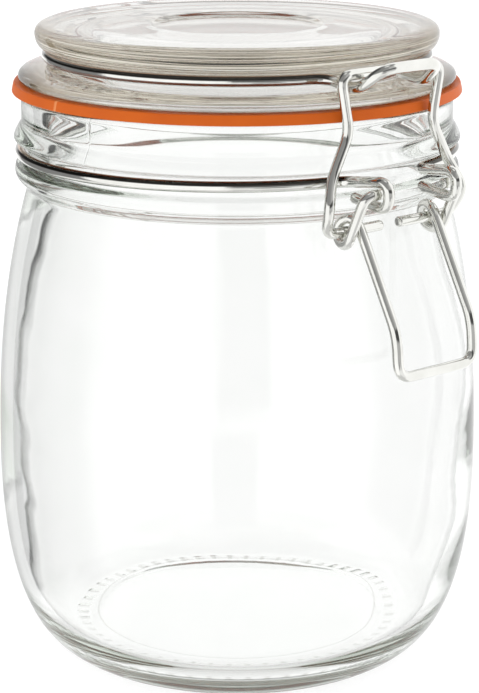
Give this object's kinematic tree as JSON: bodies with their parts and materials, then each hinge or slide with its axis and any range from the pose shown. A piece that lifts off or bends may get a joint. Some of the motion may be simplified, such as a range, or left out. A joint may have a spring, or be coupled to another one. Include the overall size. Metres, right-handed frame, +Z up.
{
  "type": "canning jar",
  "caption": "Round-bellied clear glass preserving jar, closed and empty, with a hinged glass lid, an orange rubber gasket and a bright wire lever clip.",
  "frame": {"origin": "middle of the flat underside, where the jar's axis meets the surface that it stands on", "axes": "+Z up along the jar's axis, -Y towards the clip, +Y towards the lid's hinge, +X to the right of the clip"},
  "size_m": [0.107, 0.1215, 0.14],
  "materials": {
    "jar": "clear, smooth",
    "lid": "clear, smooth",
    "gasket": "satin orange",
    "lid_wire": "bright drawn wire",
    "neck_wire": "bright drawn wire",
    "bail": "bright drawn wire",
    "lever": "bright drawn wire"
  },
  "bodies": {
    "jar": {"jar": "jar", "neck_wire": "neck_wire"},
    "lid": {"lid": "lid", "gasket": "gasket", "lid_wire": "lid_wire"},
    "lever": {"lever": "lever"},
    "bail": {"bail": "bail"}
  },
  "joints": [
    {"name": "lid_hinge", "type": "hinge", "parent": "jar", "child": "lid", "pos_m": [0, 0.053, 0.121], "axis": [-1, 0, 0], "range_deg": [0, 95]},
    {"name": "lever_pivot", "type": "hinge", "parent": "jar", "child": "lever", "pos_m": [0, -0.0558, 0.1122], "axis": [-1, 0, 0], "range_deg": [0, 45]},
    {"name": "bail_pivot", "type": "hinge", "parent": "lever", "child": "bail", "pos_m": [0, -0.049, 0.1039], "axis": [1, 0, 0], "range_deg": [0, 125]}
  ],
  "couplings": [
    {"joint": "lever_pivot", "follows": "lid_hinge", "ratio": 0.47},
    {"joint": "bail_pivot", "follows": "lid_hinge", "ratio": 1.31}
  ]
}
